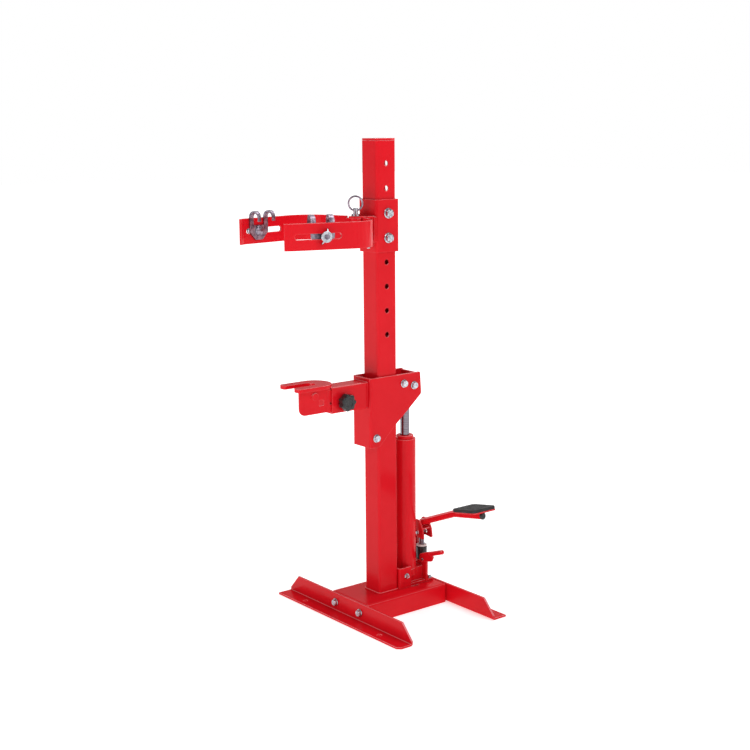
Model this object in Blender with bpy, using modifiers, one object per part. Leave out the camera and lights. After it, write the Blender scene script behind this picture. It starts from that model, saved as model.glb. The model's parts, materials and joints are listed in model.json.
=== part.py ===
"""Coil spring compressor: a floor stand with a foot-pumped hydraulic ram, a sliding fork and two hook arms.

Metres, +Z up. The operator's side is -Y, where the spring is held; +X is the pedal side.
Heights are above the floor and plan positions are from the column's axis: the root empty carries
everything, and moves the column back so that the origin lies under the middle of the whole stand.
"""
import math

import bmesh
import bpy
from mathutils import Matrix, Vector

# ---- Driving dimensions --------------------------------------------------------------------------
GAP = 0.0003            # air left between pieces that rest on each other
SHEET = 0.004           # thickness of the folded sheet metal

FOOT_HALF = 0.2105      # half the stand's width
FOOT_HEIGHT = 0.042
FOOT_WIDTH = 0.037      # width of the angle's floor flange
FOOT_BOLT_X = 0.042
FOOT_BOLT_Z = 0.0215
ANCHOR_X = 0.130
ANCHOR_RADIUS = 0.005
TRAY_HALF = 0.063
TRAY_FRONT = -0.088
TRAY_REAR = 0.131

COLUMN = 0.050          # square tube
COLUMN_WALL = 0.003
COLUMN_TOP = 0.9957
CAP_TOP = 1.000
HOLE_PITCH = 0.050
HOLE_TOP = 0.950
HOLE_COUNT = 8
HOLE_RADIUS = 0.0055

SLEEVE = 0.060
SLEEVE_WALL = 0.0035
SLEEVE_BOTTOM = 0.771
SLEEVE_TOP = 0.878
SLEEVE_BOLT_Z = (0.800, 0.850)

HINGE_Y = -0.060        # the arms' hinge pin
PIN_RADIUS = 0.006
LUG_BOTTOM = 0.792
LUG_TOP = 0.8455
LUG_RADIUS = 0.014
RING_TURN = math.radians(45)    # the pull ring hangs loose, turned from the front
STOP_X = 0.0185
STOP_Y = -0.0415

ARM_THICK = 0.0045
ARM_LOW = 0.7935
ARM_HIGH = 0.845
ARM_START = 0.031       # where the full-height bar begins, measured from the hinge
ARM_HEADING = 77        # degrees from straight ahead to straight sideways, arm closed
ARM_RUNS = ((0.024, 0), (0.012, 20), (0.052, 0), (0.080, 82), (0.121, 0), (0.010, 24), (0.008, 0))
ARM_OPEN = {"right": 8.8, "left": 16.8}     # how far each arm is swung out, degrees
HOOK_AT = {"right": 0.229, "left": 0.257}   # distance of each hook's bolt along its arm
NUT_TILT = {"right": 15, "left": 15}        # how far each wing nut is turned from upright, degrees
SLOT_AT = 0.240
SLOT_Z = 0.8195
SLOT_LENGTH = 0.095
SLOT_WIDTH = 0.011

JACK_Y = 0.0665
JACK_RADIUS = 0.023
JACK_BORE = 0.019
JACK_BOTTOM = 0.078
JACK_TOP = 0.366
ROD_RADIUS = 0.010
PISTON_BOTTOM = 0.173
PUMP_Y = 0.113
PUMP_RADIUS = 0.0118
PUMP_FLOOR = 0.0877      # top of the block's boss, where the pump's bore ends
PLUNGER_STROKE = 0.0078

CHANNEL_HALF = 0.0305   # outside half width of the lifting carriage
CARRIAGE_TOP = 0.513
RAM_BOLT = (0.0665, 0.486)
REAR_ROLLER = (0.0393, 0.4928)
REAR_ROLLER_RADIUS = 0.0137
FRONT_ROLLER = (-0.0353, 0.386)
FRONT_ROLLER_RADIUS = 0.0098
AXLE_RADIUS = 0.004

BOX_HALF = 0.0215       # fork carrier, a square box on the carriage's front
BOX_LOW = 0.451
BOX_HIGH = 0.505
BOX_FRONT = -0.141
BOX_WALL = 0.003
SLIDER_HALF = 0.0181
FORK_LOW = 0.5073
FORK_HIGH = 0.515
FORK_HALF = 0.036
FORK_SLOT_HALF = 0.015
FORK_BACK = -0.171      # centre of the fork's round back
FORK_TIP = -0.232
KNOB_Y = -0.112
KNOB_Z = 0.473

PEDAL_PIVOT = (-0.018, 0.148)
PEDAL_ROOT = (0.000, 0.170)
PEDAL_ELBOW = (0.107, 0.213)
PEDAL_END = (0.194, 0.228)
PEDAL_RADIUS = 0.0075
PAD_LENGTH = 0.072
PAD_WIDTH = 0.0615
RELEASE_PIVOT = (0.022, 0.094)
RELEASE_Y = 0.098

STAND_FRONT = -0.2851   # foremost point, the right arm's tip
STAND_REAR = TRAY_REAR + GAP + FOOT_WIDTH

# ---- Scene, collections and materials ------------------------------------------------------------
for old in list(bpy.data.objects):
    bpy.data.objects.remove(old, do_unlink=True)

PARTS = bpy.data.collections.new("coil_spring_compressor")
CUTTERS = bpy.data.collections.new("cutters")
bpy.context.scene.collection.children.link(PARTS)
bpy.context.scene.collection.children.link(CUTTERS)


def material(name, colour, roughness, metallic=0.0, coat=0.0):
    mat = bpy.data.materials.new(name)
    mat.use_nodes = True
    shader = mat.node_tree.nodes["Principled BSDF"]
    shader.inputs["Base Color"].default_value = (*colour, 1.0)
    shader.inputs["Roughness"].default_value = roughness
    shader.inputs["Metallic"].default_value = metallic
    shader.inputs["Coat Weight"].default_value = coat
    mat.diffuse_color = (*colour, 1.0)
    return mat


RED = ("red_paint", (0.60, 0.012, 0.022), 0.32, 0.0, 0.5)
ZINC = ("zinc_plate", (0.62, 0.62, 0.60), 0.30, 1.0)
HOOK_ZINC = ("hook_zinc", (0.36, 0.34, 0.40), 0.38, 1.0)
STEEL = ("polished_rod", (0.30, 0.29, 0.30), 0.16, 1.0)
BLACK = ("black_plastic", (0.012, 0.012, 0.014), 0.40)
RUBBER = ("black_rubber", (0.016, 0.016, 0.017), 0.70)
WHITE = ("white_seal", (0.80, 0.80, 0.78), 0.45)


# ---- Outlines ------------------------------------------------------------------------------------
def outline(corners, steps=5, closed=True):
    """Points of a line through corners, each given as its coordinates and a fillet radius last."""
    points = []
    count = len(corners)
    for index, corner in enumerate(corners):
        here = Vector(corner[:-1])
        radius = corner[-1]
        at_end = not closed and index in (0, count - 1)
        if radius == 0 or at_end:
            points.append(here)
            continue
        back = (Vector(corners[index - 1][:-1]) - here).normalized()
        ahead = (Vector(corners[(index + 1) % count][:-1]) - here).normalized()
        inside = back.angle(ahead)
        centre = here + (back + ahead).normalized() * radius / math.sin(inside / 2)
        reach = radius / math.tan(inside / 2)
        start = here + back * reach - centre
        end = here + ahead * reach - centre
        turn = math.pi - inside
        for step in range(steps + 1):
            share = step / steps
            mixed = start * math.sin((1 - share) * turn) + end * math.sin(share * turn)
            points.append(centre + mixed / math.sin(turn))
    return points


def arc(x, y, radius, start, stop, steps):
    """Points of an arc, angles in degrees."""
    angles = [math.radians(start + (stop - start) * step / steps) for step in range(steps + 1)]
    return [Vector((x + radius * math.cos(a), y + radius * math.sin(a))) for a in angles]


def circle(x, y, radius, steps=24):
    return arc(x, y, radius, 0, 360, steps)[:-1]


def rectangle(x_low, y_low, x_high, y_high, radius=0.0, steps=4):
    corners = ((x_low, y_low), (x_high, y_low), (x_high, y_high), (x_low, y_high))
    return outline([(*corner, radius) for corner in corners], steps)


def square_ring(half_x, low, high, wall, radius):
    """Outer and inner outline of a square tube."""
    outer = rectangle(-half_x, low, half_x, high, radius)
    inner_radius = max(radius - wall, 0.0005)
    inner = rectangle(-half_x + wall, low + wall, half_x - wall, high - wall, inner_radius)
    return [outer, inner]


# ---- Making and placing pieces -------------------------------------------------------------------
def frame_at(name, origin, parent=None, turn=0.0):
    """An empty that carries a moving group. Pieces given in stand coordinates are placed from it."""
    empty = bpy.data.objects.new(name, None)
    PARTS.objects.link(empty)
    empty.empty_display_size = 0.03
    empty.parent = parent
    datum = Vector(parent["datum"]) if parent else Vector((0, 0, 0))
    empty.location = Vector(origin) - datum
    empty.rotation_euler = (0, 0, turn)
    empty["datum"] = tuple(Vector(origin))
    return empty


def own_frame(name, origin, parent, turn):
    """An empty whose pieces are given in its own coordinates, with heights still above the floor."""
    empty = frame_at(name, origin, parent, turn)
    empty["datum"] = (0.0, 0.0, empty["datum"][2])
    return empty


def finish_piece(obj, style):
    mat = material(obj.name + "_material", *style[1:])
    obj.data.materials.clear()
    obj.data.materials.append(mat)
    if obj.type == "MESH":
        obj.data.shade_smooth()
        obj.data.set_sharp_from_angle(angle=math.radians(35))


def place(name, mesh, style, frame, location=(0, 0, 0), rotation=(0, 0, 0)):
    """Links a mesh as an object in the parts collection, or in the cutters when it has no style."""
    obj = bpy.data.objects.new(name, mesh)
    obj.parent = frame
    obj.location = Vector(location) - Vector(frame["datum"])
    obj.rotation_euler = rotation
    if style is None:
        CUTTERS.objects.link(obj)
        obj.hide_render = True
        obj.display_type = "WIRE"
    else:
        PARTS.objects.link(obj)
        finish_piece(obj, style)
    return obj


def mesh_of(bm, name):
    mesh = bpy.data.meshes.new(name)
    bm.to_mesh(mesh)
    bm.free()
    return mesh


def evaluated_mesh(obj, remove=True):
    """The mesh of an object with its modifiers applied, its loose caps welded."""
    bpy.context.view_layer.update()
    depsgraph = bpy.context.evaluated_depsgraph_get()
    mesh = bpy.data.meshes.new_from_object(obj.evaluated_get(depsgraph))
    if remove:
        bpy.data.objects.remove(obj, do_unlink=True)
    bm = bmesh.new()
    bm.from_mesh(mesh)
    bmesh.ops.remove_doubles(bm, verts=bm.verts, dist=0.00001)
    bmesh.ops.recalc_face_normals(bm, faces=bm.faces)
    bm.to_mesh(mesh)
    bm.free()
    return mesh


PLANES = {"plan": (0, 0, 0), "front": (math.pi / 2, 0, 0), "side": (math.pi / 2, 0, math.pi / 2)}
NORMALS = {"plan": Vector((0, 0, 1)), "front": Vector((0, 1, 0)), "side": Vector((1, 0, 0))}


def prism(name, plane, loops, low, high, style, frame):
    """A flat outline, with holes, given thickness from low to high along the plane's normal.

    plan outlines are (x, y), front outlines are (x, z) and side outlines are (y, z).
    """
    curve = bpy.data.curves.new(name, "CURVE")
    curve.dimensions = "2D"
    curve.fill_mode = "BOTH"
    curve.extrude = (high - low) / 2
    for loop in loops:
        spline = curve.splines.new("POLY")
        spline.points.add(len(loop) - 1)
        for point, corner in zip(spline.points, loop):
            point.co = (corner[0], corner[1], 0, 1)
        spline.use_cyclic_u = True
    flat = bpy.data.objects.new(name + "_outline", curve)
    CUTTERS.objects.link(flat)
    mesh = evaluated_mesh(flat)
    middle = NORMALS[plane] * (low + high) / 2
    return place(name, mesh, style, frame, middle, PLANES[plane])


AXES = {"x": (0, math.pi / 2, 0), "y": (-math.pi / 2, 0, 0), "z": (0, 0, 0)}


def along(axis, centre, position):
    """A point at position on an axis whose other two coordinates are centre."""
    a, b = centre
    return {"x": (position, a, b), "y": (a, position, b), "z": (a, b, position)}[axis]


def cylinder(name, axis, centres, low, high, radius, style, frame, steps=24, end_radius=None):
    """One or more round bars along an axis, in one object; end_radius makes them taper."""
    bm = bmesh.new()
    first = centres[0]
    for centre in centres:
        shift = Vector(along(axis, centre, 0)) - Vector(along(axis, first, 0))
        turn = Matrix.Rotation(AXES[axis][1], 3, "Y") @ Matrix.Rotation(AXES[axis][0], 3, "X")
        bmesh.ops.create_cone(
            bm, cap_ends=True, segments=steps, radius1=radius, radius2=end_radius or radius,
            depth=high - low, matrix=Matrix.Translation(turn.inverted() @ shift))
    middle = along(axis, first, (low + high) / 2)
    return place(name, mesh_of(bm, name), style, frame, middle, AXES[axis])


def box(name, low, high, style, frame, bevel=0.0, sharp_below=None, segments=2):
    """A box between two corners. Its edges are bevelled, except those lower than sharp_below."""
    low = Vector(low)
    high = Vector(high)
    bm = bmesh.new()
    bmesh.ops.create_cube(bm, size=1, matrix=Matrix.Diagonal((*(high - low), 1)))
    mesh = mesh_of(bm, name)
    obj = place(name, mesh, style, frame, (low + high) / 2)
    if bevel:
        weights = mesh.attributes.new("bevel_weight_edge", "FLOAT", "EDGE")
        floor = -math.inf if sharp_below is None else sharp_below - (low.z + high.z) / 2
        for edge in mesh.edges:
            middle = (mesh.vertices[edge.vertices[0]].co + mesh.vertices[edge.vertices[1]].co) / 2
            weights.data[edge.index].value = 1.0 if middle.z > floor else 0.0
        modifier = obj.modifiers.new("rounded_edges", "BEVEL")
        modifier.limit_method = "WEIGHT"
        modifier.width = bevel
        modifier.segments = segments
    return obj


def turned(name, profile, style, frame, location, rotation=(0, 0, 0), steps=32, ring=False):
    """A turned piece from (radius, height) points that run down its outer side."""
    bm = bmesh.new()
    verts = [bm.verts.new((radius, 0, height)) for radius, height in profile]
    for first, second in zip(verts, verts[1:]):
        bm.edges.new((first, second))
    if ring:
        bm.edges.new((verts[-1], verts[0]))
    obj = place(name, mesh_of(bm, name), style, frame, location, rotation)
    screw = obj.modifiers.new("turned", "SCREW")
    screw.steps = steps
    screw.render_steps = steps
    screw.use_merge_vertices = True
    screw.merge_threshold = 0.00001
    screw.use_smooth_shade = False
    return obj


def tube(name, points, radius, style, frame, resolution=4):
    """A round bar bent along points, given from its frame's own origin."""
    curve = bpy.data.curves.new(name, "CURVE")
    curve.dimensions = "3D"
    curve.bevel_depth = radius
    curve.bevel_resolution = resolution
    curve.use_fill_caps = True
    spline = curve.splines.new("POLY")
    spline.points.add(len(points) - 1)
    for point, place_at in zip(spline.points, points):
        point.co = (*place_at, 1)
    obj = bpy.data.objects.new(name, curve)
    PARTS.objects.link(obj)
    obj.parent = frame
    finish_piece(obj, style)
    return obj


def change(obj, operation, *tools):
    for tool in tools:
        modifier = obj.modifiers.new(tool.name, "BOOLEAN")
        modifier.operation = operation
        modifier.solver = "EXACT"
        modifier.object = tool
    return obj


def cut(obj, *tools):
    return change(obj, "DIFFERENCE", *tools)


def join(obj, *tools):
    return change(obj, "UNION", *tools)


# ---- Fasteners -----------------------------------------------------------------------------------
# Shank radius, width across flats, head height and flange radius of each size of bolt.
M6 = (0.003, 0.008, 0.0052, 0.0058)
M8 = (0.004, 0.013, 0.0064, 0.0085)
M10 = (0.005, 0.016, 0.0085, 0.0105)
STOP = (0.004, 0.0105, 0.0045, 0.0064)


def bolt(name, size, length, seat, direction, frame, nut_at=None):
    """A flange bolt whose head bears on seat and faces direction, with its nut that far behind."""
    radius, width, height, flange = size
    spread = width / 2 / math.cos(math.pi / 6)
    rim = 0.0016
    body = cylinder("rim", "z", [(0, 0)], 0, rim, flange, None, ROOT, 16)
    tools = [cylinder("head", "z", [(0, 0)], rim / 2, height, spread, None, ROOT, 6),
             cylinder("shank", "z", [(0, 0)], -length, rim / 2, radius, None, ROOT, 12)]
    if nut_at:
        tools.append(cylinder("nut", "z", [(0, 0)], -nut_at - height, -nut_at, spread, None, ROOT, 6))
    join(body, *tools)
    mesh = evaluated_mesh(body)
    mesh.transform(Matrix.Translation((0, 0, rim / 2)))
    for tool in tools:
        bpy.data.objects.remove(tool, do_unlink=True)
    turn = Vector(direction).to_track_quat("Z", "Y").to_euler()
    return place(name, mesh, ZINC, frame, seat, turn)


# ---- Stand ---------------------------------------------------------------------------------------
def base_tray():
    """The folded tray that the column and the jack stand on, open underneath."""
    low = (-TRAY_HALF, TRAY_FRONT, 0)
    high = (TRAY_HALF, TRAY_REAR, FOOT_HEIGHT)
    tray = box("base_tray", low, high, RED, ROOT, 0.005, 0.001)
    inside = box("tray_inside", (-TRAY_HALF + SHEET, TRAY_FRONT + SHEET, -0.02),
                 (TRAY_HALF - SHEET, TRAY_REAR - SHEET, FOOT_HEIGHT - SHEET), None, ROOT)
    bolts = [(x, FOOT_BOLT_Z) for x in (-FOOT_BOLT_X, FOOT_BOLT_X)]
    foot_holes = cylinder("tray_foot_holes", "y", bolts, TRAY_FRONT - 0.01, TRAY_REAR + 0.01, 0.0044,
                          None, ROOT, 16)
    block_holes = cylinder("tray_block_holes", "z", BLOCK_BOLTS, 0.03, 0.05, 0.0034, None, ROOT, 16)
    slot = rectangle(0.0274, 0.0595, 0.0324, 0.0795, 0.0024)
    drain = prism("tray_slot", "plan", [slot], 0.03, 0.05, None, ROOT)
    cut(tray, inside, foot_holes, block_holes, drain)


def foot(name, inner, outward):
    """An angle across the stand, bolted to the tray; inner is its face against the tray."""
    leg = inner + outward * SHEET
    edge = inner + outward * FOOT_WIDTH
    section = outline([(inner, 0, 0.005), (edge, 0, 0), (edge, SHEET, 0), (leg, SHEET, 0.002),
                       (leg, FOOT_HEIGHT, 0.001), (inner, FOOT_HEIGHT, 0.001)])
    angle = prism(name, "side", [section], -FOOT_HALF, FOOT_HALF, RED, ROOT)
    tools = []
    if name == "front_foot":
        clipped = edge - outward * 0.008
        beyond = edge + outward * 0.01
        corner = [(FOOT_HALF, clipped), (FOOT_HALF - 0.008, edge), (FOOT_HALF - 0.008, beyond),
                  (FOOT_HALF + 0.01, beyond), (FOOT_HALF + 0.01, clipped)]
        tools.append(prism("foot_corner", "plan", [corner], -0.01, 0.008, None, ROOT))
    for side in (-1, 1):
        slope = [(side * (FOOT_HALF - 0.030), FOOT_HEIGHT), (side * FOOT_HALF, 0.010),
                 (side * (FOOT_HALF + 0.01), 0.010), (side * (FOOT_HALF + 0.01), 0.06),
                 (side * (FOOT_HALF - 0.030), 0.06)]
        span = sorted((inner - outward * 0.01, edge + outward * 0.01))
        tools.append(prism(f"{name}_slope_{side}", "front", [slope], *span, None, ROOT))
    anchor_y = (leg + edge) / 2 + outward * 0.001
    tools.append(cylinder(f"{name}_anchors", "z", [(-ANCHOR_X, anchor_y), (ANCHOR_X, anchor_y)],
                          -0.01, 0.01, ANCHOR_RADIUS, None, ROOT))
    bolts = [(x, FOOT_BOLT_Z) for x in (-FOOT_BOLT_X, FOOT_BOLT_X)]
    tools.append(cylinder(f"{name}_bolt_holes", "y", bolts, inner - 0.01, inner + 0.01, 0.0044,
                          None, ROOT, 16))
    cut(angle, *tools)


def base():
    base_tray()
    foot("front_foot", TRAY_FRONT - GAP, -1)
    foot("rear_foot", TRAY_REAR + GAP, 1)
    seat = 2 * GAP + SHEET
    for end, face, outward in (("front", TRAY_FRONT, -1), ("rear", TRAY_REAR, 1)):
        for side, x in (("right", FOOT_BOLT_X), ("left", -FOOT_BOLT_X)):
            bolt(f"{end}_{side}_foot_bolt", M8, 0.024, (x, face + outward * seat, FOOT_BOLT_Z),
                 (0, outward, 0), ROOT, nut_at=SHEET + seat + GAP)


def column():
    """The square tube with the row of setting holes, closed by a cap."""
    half = COLUMN / 2
    ring = square_ring(half, -half, half, COLUMN_WALL, 0.005)
    post = prism("column", "plan", ring, FOOT_HEIGHT + GAP, COLUMN_TOP, RED, ROOT)
    levels = [HOLE_TOP - HOLE_PITCH * index for index in range(HOLE_COUNT)]
    across = cylinder("column_holes", "x", [(0, level) for level in levels],
                      -0.04, 0.04, HOLE_RADIUS, None, ROOT, 12)
    rear = cylinder("column_rear_holes", "y", [(0, level) for level in levels[:2]],
                    0.015, 0.04, 0.009, None, ROOT, 16)
    cut(post, across, rear)
    cap = rectangle(-half, -half, half, half, 0.005)
    prism("column_cap", "plan", [cap], COLUMN_TOP + GAP, CAP_TOP, RED, ROOT)


# ---- Jack and pump -------------------------------------------------------------------------------
BLOCK_BOLTS = [(0.0215, 0.1165), (-0.0295, 0.1140)]


def jack_bracket():
    """A U of sheet that holds the pump block against the column, with a screw through each side."""
    low = FOOT_HEIGHT + GAP
    back = COLUMN / 2 + GAP
    channel = outline([(-0.030, back, 0.003), (0.030, back, 0.003), (0.030, 0.058, 0), (0.027, 0.058, 0),
                       (0.027, back + 0.003, 0.001), (-0.027, back + 0.003, 0.001),
                       (-0.027, 0.058, 0), (-0.030, 0.058, 0)], 3)
    bracket = prism("jack_bracket", "plan", [channel], low, 0.088, RED, ROOT)
    holes = cylinder("bracket_holes", "x", [(0.045, 0.069)], -0.04, 0.04, 0.0034, None, ROOT, 16)
    cut(bracket, holes)
    for name, side in (("right", 1), ("left", -1)):
        bolt(f"{name}_bracket_screw", M6, 0.024, (side * (0.030 + GAP), 0.045, 0.069), (side, 0, 0), ROOT)


def pump_block():
    """The casting under the cylinder and the foot pump, with the oil ways and the valve lug."""
    low = FOOT_HEIGHT + GAP
    flange = outline([(-0.0262, 0.032, 0.004), (0.0262, 0.032, 0.004), (0.0262, 0.0995, 0),
                      (0.029, 0.1025, 0), (0.029, 0.1245, 0.005), (-0.037, 0.1235, 0.005),
                      (-0.037, 0.1038, 0.003), (-0.0262, 0.1031, 0)], 3)
    block = prism("pump_block", "plan", [flange], low, 0.048, RED, ROOT)
    body = box("block_body", (-0.017, 0.034, 0.045), (0.017, 0.112, JACK_BOTTOM - GAP), None, ROOT)
    seat = cylinder("block_seat", "z", [(0, JACK_Y)], 0.062, JACK_BOTTOM - GAP, JACK_RADIUS, None, ROOT, 32)
    spigot = cylinder("block_spigot", "z", [(0, JACK_Y)], 0.070, 0.0845, JACK_BORE - GAP, None, ROOT, 24)
    boss = cylinder("block_boss", "z", [(0, PUMP_Y)], 0.044, PUMP_FLOOR, 0.0128, None, ROOT, 24)
    ear = box("block_ear", (-0.0235, 0.105, 0.0455), (-0.0135, 0.1205, 0.080), None, ROOT)
    lug_top = outline([(0.0135, 0.0465, 0), (0.0305, 0.0465, 0), (0.0305, 0.1025, 0.008),
                       (0.0135, 0.1025, 0.008)])
    lug = prism("block_lug", "front", [lug_top], RELEASE_Y + 0.0018, RELEASE_Y + 0.0068, None, ROOT)
    join(block, body, seat, spigot, boss, ear, lug)
    screws = cylinder("block_screw_holes", "x", [(0.045, 0.069)], -0.04, 0.04, 0.0034, None, ROOT, 16)
    bolts = cylinder("block_bolt_holes", "z", BLOCK_BOLTS, 0.03, 0.06, 0.0034, None, ROOT, 16)
    pivot = cylinder("block_pivot_hole", "y", [RELEASE_PIVOT], 0.09, 0.11, 0.0034, None, ROOT, 16)
    cut(block, screws, bolts, pivot)
    for name, (x, y) in zip(("right_block_bolt", "left_block_bolt"), BLOCK_BOLTS):
        bolt(name, M6, 0.012, (x, y, 0.048 + GAP), (0, 0, 1), ROOT)


def jack():
    """The red cylinder with its gland nut."""
    wall = [circle(0, JACK_Y, JACK_RADIUS, 40), circle(0, JACK_Y, JACK_BORE, 24)]
    prism("jack_cylinder", "plan", wall, JACK_BOTTOM, JACK_TOP, RED, ROOT)
    bore = ROD_RADIUS + 0.0004
    profile = [(bore, 0.374), (0.0172, 0.374), (0.0185, 0.3727), (0.0185, 0.352), (bore, 0.352)]
    turned("cylinder_gland", profile, RED, ROOT, (0, JACK_Y, 0), steps=32, ring=True)


def pump():
    """The foot pump's barrel with its wiper, and the post that carries the pedal."""
    bore = 0.0064
    low = PUMP_FLOOR + GAP
    barrel = [(bore, 0.1165), (0.0105, 0.1165), (PUMP_RADIUS, 0.1145), (PUMP_RADIUS - 0.0006, low),
              (bore, low)]
    turned("pump_barrel", barrel, BLACK, ROOT, (0, PUMP_Y, 0), steps=24, ring=True)
    wiper = [(bore, 0.1205), (0.0105, 0.1205), (0.0118, 0.1193), (0.0118, 0.1168), (bore, 0.1168)]
    turned("pump_wiper", wiper, WHITE, ROOT, (0, PUMP_Y, 0), steps=24, ring=True)
    x, z = PEDAL_PIVOT
    shape = outline([(x - 0.004, 0.0803, 0), (x + 0.004, 0.0803, 0), (x + 0.006, z + 0.006, 0.005),
                     (x - 0.006, z + 0.006, 0.005)])
    post = prism("fulcrum_post", "front", [shape], PUMP_Y - 0.007, PUMP_Y + 0.007, RED, ROOT)
    hole = cylinder("post_hole", "y", [PEDAL_PIVOT], 0.1, 0.13, AXLE_RADIUS + GAP, None, ROOT, 16)
    cut(post, hole)
    half = 0.0165
    cylinder("fulcrum_pin", "y", [PEDAL_PIVOT], PUMP_Y - half, PUMP_Y + half, AXLE_RADIUS, ZINC, ROOT, 16)
    cylinder("release_pin", "y", [RELEASE_PIVOT], RELEASE_Y - 0.003, RELEASE_Y + 0.0075, 0.003, ZINC,
             ROOT, 16)


def plunger():
    """The pump's plunger and the pin that the pedal pushes."""
    bottom = PUMP_FLOOR + PLUNGER_STROKE + 0.0015
    rod = cylinder("pump_plunger", "z", [(0, PUMP_Y)], bottom, 0.153, 0.006, STEEL, PLUNGER, 20)
    pin_at = (0, PEDAL_PIVOT[1])
    hole = cylinder("plunger_hole", "y", [pin_at], 0.1, 0.13, 0.0033, None, PLUNGER, 16)
    cut(rod, hole)
    cylinder("plunger_pin", "y", [pin_at], PUMP_Y - 0.015, PUMP_Y + 0.015, 0.003, ZINC, PLUNGER, 16)


def pump_pedal():
    """The yoke round the plunger, the bent lever tube and the pad."""
    x, z = PEDAL_PIVOT
    cheek = outline([(x - 0.007, z - 0.007, 0.006), (0.010, 0.138, 0.003), (0.022, 0.1365, 0.003),
                     (0.019, 0.158, 0.002), (0.008, 0.178, 0.004), (-0.010, 0.178, 0.006),
                     (x - 0.007, z + 0.010, 0.006)])
    slot = rectangle(-0.0042, z - 0.004, 0.0058, z + 0.0046, 0.0039)
    pivot = circle(x, z, AXLE_RADIUS + GAP, 16)
    inner = 0.0105
    yoke = prism("pedal_yoke", "front", [cheek, slot, pivot], PUMP_Y + inner, PUMP_Y + 0.0135, RED, PEDAL)
    other = prism("yoke_cheek", "front", [cheek, slot, pivot], PUMP_Y - 0.0135, PUMP_Y - inner, None, PEDAL)
    web = box("yoke_web", (-0.004, PUMP_Y - 0.012, 0.1575), (0.016, PUMP_Y + 0.012, 0.1602), None, PEDAL)
    join(yoke, other, web)
    route = outline([(*PEDAL_ROOT, 0), (*PEDAL_ELBOW, 0.045), (*PEDAL_END, 0)], 6, closed=False)
    middle = [(px - x, 0, pz - z) for px, pz in route]
    tube("pedal_lever", middle, PEDAL_RADIUS, RED, PEDAL)
    slope = math.atan2(PEDAL_END[1] - PEDAL_ELBOW[1], PEDAL_END[0] - PEDAL_ELBOW[0])
    plug = [(0, 0.005), (0.0055, 0.005), (0.0078, 0.003), (0.0078, GAP), (0, GAP)]
    turned("lever_plug", plug, BLACK, PEDAL, (PEDAL_END[0], PUMP_Y, PEDAL_END[1]),
           (0, math.pi / 2 - slope, 0), steps=24)
    pad(slope)


def pad(slope):
    """The pedal's plate with its rubber, lying on the end of the lever."""
    reach = 0.066
    lift = PEDAL_RADIUS + GAP
    centre = Vector((PEDAL_ELBOW[0], PUMP_Y, PEDAL_ELBOW[1]))
    centre += Vector((math.cos(slope), 0, math.sin(slope))) * reach
    centre += Vector((-math.sin(slope), 0, math.cos(slope))) * lift
    rest = frame_at("pad_seat", centre, PEDAL)
    rest.rotation_euler = (0, -slope, 0)
    rest["datum"] = (0.0, 0.0, 0.0)
    half_x = PAD_LENGTH / 2
    half_y = PAD_WIDTH / 2
    plate = prism("pedal_plate", "plan", [rectangle(-half_x, -half_y, half_x, half_y, 0.008)],
                  0, 0.003, RED, rest)
    rubber = prism("pedal_pad", "plan", [rectangle(-half_x - 0.001, -half_y - 0.001, half_x - 0.001,
                                                   half_y + 0.001, 0.009)],
                   0.003 + GAP, 0.0095, RUBBER, rest)
    spots = [(side * 0.027, 0) for side in (-1, 1)]
    holes = cylinder("pad_holes", "z", spots, -0.01, 0.02, 0.0024, None, rest, 12)
    cut(plate, holes)
    pockets = cylinder("pad_pockets", "z", spots, -0.01, 0.007, 0.0024, None, rest, 12)
    cut(rubber, pockets)


def release_pedal():
    """The small lever that opens the return valve."""
    x, z = RELEASE_PIVOT
    shape = outline([(x - 0.010, z - 0.009, 0.008), (0.053, 0.096, 0.005), (0.058, 0.107, 0.003),
                     (0.046, 0.117, 0.003), (x - 0.010, z + 0.010, 0.008)])
    plate = prism("release_lever", "front", [shape, circle(x, z, 0.0034, 16)],
                  RELEASE_Y - 0.0015, RELEASE_Y + 0.0012, RED, RELEASE)
    start = Vector((0.047, 0.1115))
    end = Vector((0.088, 0.126))
    run = (end - start).normalized()
    slope = math.atan2(run.y, run.x)
    length = (end - start).length
    rod = [(0, length), (0.0034, length), (0.005, length - 0.0016), (0.005, 0.0), (0, 0.0)]
    bar = turned("release_rod", rod, None, RELEASE, (start.x, RELEASE_Y, start.y),
                 (0, math.pi / 2 - slope, 0), steps=16)
    join(plate, bar)


# ---- Ram and carriage ----------------------------------------------------------------------------
def ram():
    """Piston, rod and the cross head that lifts the carriage."""
    top = PISTON_BOTTOM + 0.020
    profile = [(0, top), (0.0185, top), (0.0185, PISTON_BOTTOM), (0, PISTON_BOTTOM)]
    turned("piston", profile, BLACK, LIFT, (0, JACK_Y, 0), steps=32)
    rod_top = RAM_BOLT[1] - 0.012
    rod = [(0, rod_top - GAP), (ROD_RADIUS, rod_top - GAP), (ROD_RADIUS, top + GAP), (0, top + GAP)]
    turned("ram_rod", rod, STEEL, LIFT, (0, JACK_Y, 0), steps=32)
    inner = CHANNEL_HALF - SHEET - GAP
    head = cylinder("ram_head", "x", [RAM_BOLT], -inner, inner, 0.012, STEEL, LIFT, 24)
    bore = cylinder("head_bore", "x", [RAM_BOLT], -0.04, 0.04, AXLE_RADIUS + GAP, None, LIFT, 20)
    cut(head, bore)


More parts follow.
